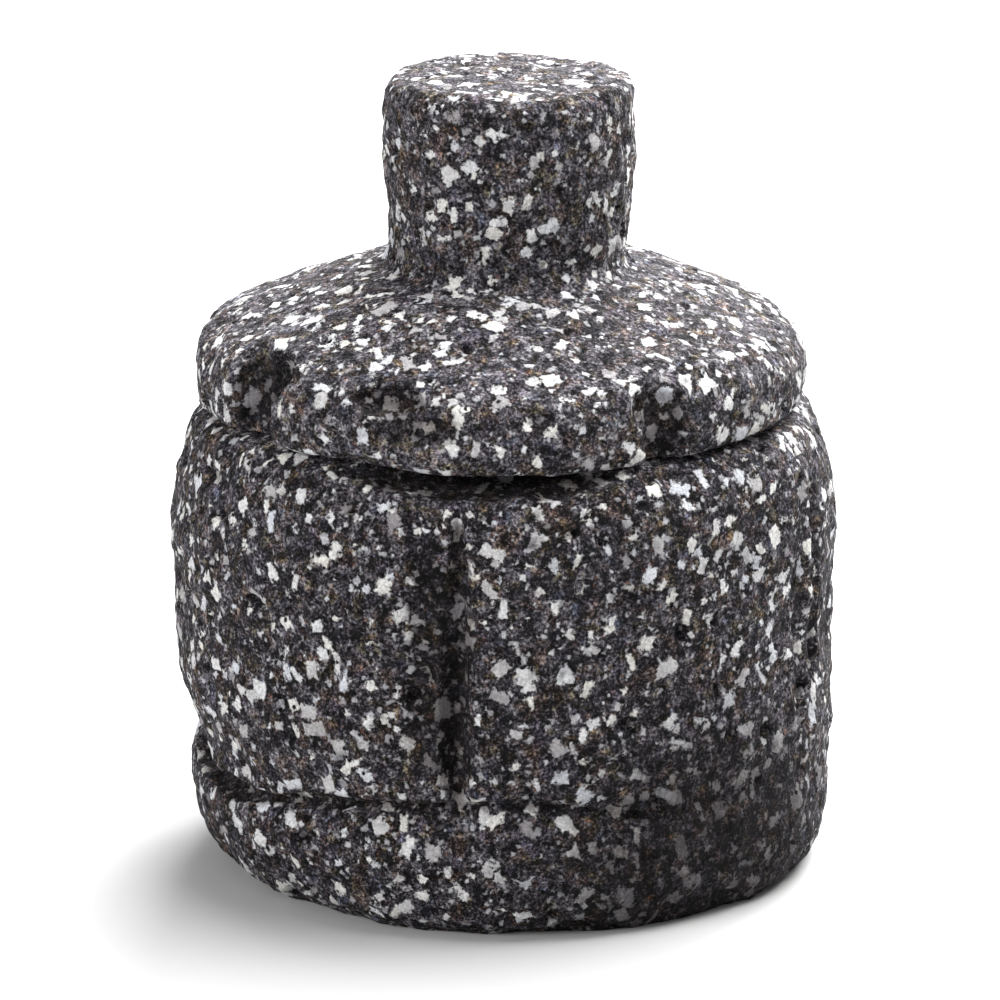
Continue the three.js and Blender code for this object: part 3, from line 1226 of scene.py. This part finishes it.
@dataclass
class HandStone:
    """The tejolote, leaning inside the cavity with its grip against the back wall.

    Attributes:
        length: Its length, in millimetres as all sizes here.
        grind_radius: Radius of its round grinding end.
        grip_radius: Radius of its grip.
        tilt: Degrees that its axis leans away from upright, towards the back.
        foot_at: Where its grinding end stands.
        voxel: Size of the grid that the surface is rebuilt on.
        finish: The stone.
    """

    length: float = 65.0
    grind_radius: float = 19.5
    grip_radius: float = 12.5
    tilt: float = 48.0
    foot_at: tuple[float, float, float] = (0.0, -10.2, 39.0)
    voxel: float = 0.6
    finish: PorphyriticBasalt = PorphyriticBasalt(
        "rubbed_basalt_hand_stone", offset=(-97.0, 133.0, 41.0), roughness=0.74, grit=0.6,
    )

    def outline(self) -> list[Ring]:
        """The rings along the hand stone's own axis, from its grinding end.

        Returns:
            The rings in order.
        """
        grinding = arc_rings((0, 14), (self.grind_radius, 14), (-80, 0), 6)
        shaft = [even(18.4, 25), even(15.6, 39), even(13.2, 52)]
        grip = arc_rings((0, self.length - 8), (self.grip_radius, 8), (10, 80), 5)
        return grinding + shaft + grip

    def build(self) -> bpy.types.Object:
        """Builds, leans and dresses the hand stone.

        Returns:
            The finished piece.
        """
        stone = raise_rings("tejolote_stone", self.outline(), sides=72)
        make_active(stone)
        stone.rotation_euler = (-math.radians(self.tilt), 0, 0)
        stone.location = Vector(self.foot_at) * MM
        bpy.ops.object.transform_apply(location=True, rotation=True, scale=True)
        skin = skin_of(stone)
        weather(stone, self.voxel, [
            Roughness(Relief.SWELL, 9.0, 0.9),
            Roughness(Relief.SWELL, 2.6, 0.5, 3),
        ], lambda vertex: 1.0)
        note_recesses(stone, skin)
        stone.data.materials.append(self.finish.material())
        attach(stone, "tejolote")
        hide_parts("tejolote")
        return stone


# ---------------------------------------------------------------- studio


@dataclass(frozen=True)
class Softbox:
    """One square softbox.

    Attributes:
        name: The light's name.
        place: Where it hangs, in metres.
        size: Its side in metres.
        power: Its power in watts.
    """

    name: str
    place: tuple[float, float, float]
    size: float
    power: float

    def hang(self, target: Vector) -> None:
        """Hangs the softbox so that it faces the object.

        Args:
            target: The point that it faces.
        """
        data = bpy.data.lights.new(self.name, "AREA")
        data.size = self.size
        data.energy = self.power
        lamp = bpy.data.objects.new(self.name, data)
        lamp.location = self.place
        lamp.rotation_mode = "QUATERNION"
        lamp.rotation_quaternion = (target - Vector(self.place)).to_track_quat("-Z", "Y")
        bpy.context.scene.collection.objects.link(lamp)


@dataclass
class Studio:
    """Pale floor, soft lights and the camera.

    Attributes:
        target: The point that the camera and the softboxes face, in metres.
        distance: The camera's distance from it, in metres.
        azimuth: Degrees that the camera stands round towards +X from the front.
        elevation: Degrees that it looks down.
        lens: Its focal length in millimetres, on a sensor 36 mm wide.
        sky: Strength of the even light from all round.
        floor_size: Side of the floor in metres.
        softboxes: The soft light from above, a low one behind that gives upper faces their sheen, and a
            weaker one at the front left.
        board: The floor's finish.
    """

    target: Vector
    distance: float = 1.512
    azimuth: float = 7.0
    elevation: float = 15.5
    lens: float = 270.0
    sky: float = 0.45
    floor_size: float = 12.0
    softboxes: tuple[Softbox, ...] = (
        Softbox("top_softbox", (0.45, 0.35, 1.48), 1.3, 75.0),
        Softbox("back_softbox", (0.35, 1.9, 0.95), 1.2, 118.0),
        Softbox("front_softbox", (-1.35, -1.15, 0.85), 0.7, 28.5),
    )
    board: PaleBoard = PaleBoard()

    def floor(self) -> bpy.types.Object:
        """Lays the floor.

        Returns:
            The floor.
        """
        deselect_all()
        bpy.ops.mesh.primitive_plane_add(size=self.floor_size, location=(0, 0, 0))
        floor = bpy.context.object
        floor.name = "pale_floor"
        floor.data.materials.append(self.board.material())
        return floor

    def lights(self) -> None:
        """Sets the even sky and the softboxes."""
        world = bpy.data.worlds.new("studio")
        world.use_nodes = True
        sky = world.node_tree.nodes["Background"]
        sky.inputs["Color"].default_value = linear("#ffffff")
        sky.inputs["Strength"].default_value = self.sky
        bpy.context.scene.world = world
        for softbox in self.softboxes:
            softbox.hang(self.target)

    def camera(self) -> None:
        """Sets up the camera in front, slightly above and to the right."""
        turn, rise = math.radians(self.azimuth), math.radians(self.elevation)
        back = Vector((math.sin(turn) * math.cos(rise), -math.cos(turn) * math.cos(rise), math.sin(rise)))
        data = bpy.data.cameras.new("camera")
        data.lens = self.lens
        data.sensor_width = 36.0
        lens = bpy.data.objects.new("camera", data)
        lens.location = self.target + back * self.distance
        lens.rotation_mode = "QUATERNION"
        lens.rotation_quaternion = (-back).to_track_quat("-Z", "Y")
        bpy.context.scene.collection.objects.link(lens)
        bpy.context.scene.camera = lens

    def build(self) -> None:
        """Builds the floor, the lights and the camera."""
        self.floor()
        self.lights()
        self.camera()
        view = bpy.context.scene.view_settings
        view.view_transform = "Standard"


def main() -> None:
    """Builds the three stones and the studio, and logs each piece."""
    logging.basicConfig(level=logging.INFO, format="%(name)s: %(message)s")
    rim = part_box("bowl")[1].z / MM
    knob_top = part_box("lid")[1].z / MM
    stones = (Mortar(height=rim), Lid(seat=rim + SEAT_GAP_MM, top=knob_top), HandStone())
    for maker in stones:
        piece = maker.build()
        LOG.info("%s: %d faces", piece.name, len(piece.data.polygons))
    Studio(target=Vector((-0.0008, 0.0, 0.0724))).build()
    LOG.info("studio set")


if __name__ == "__main__":
    main()
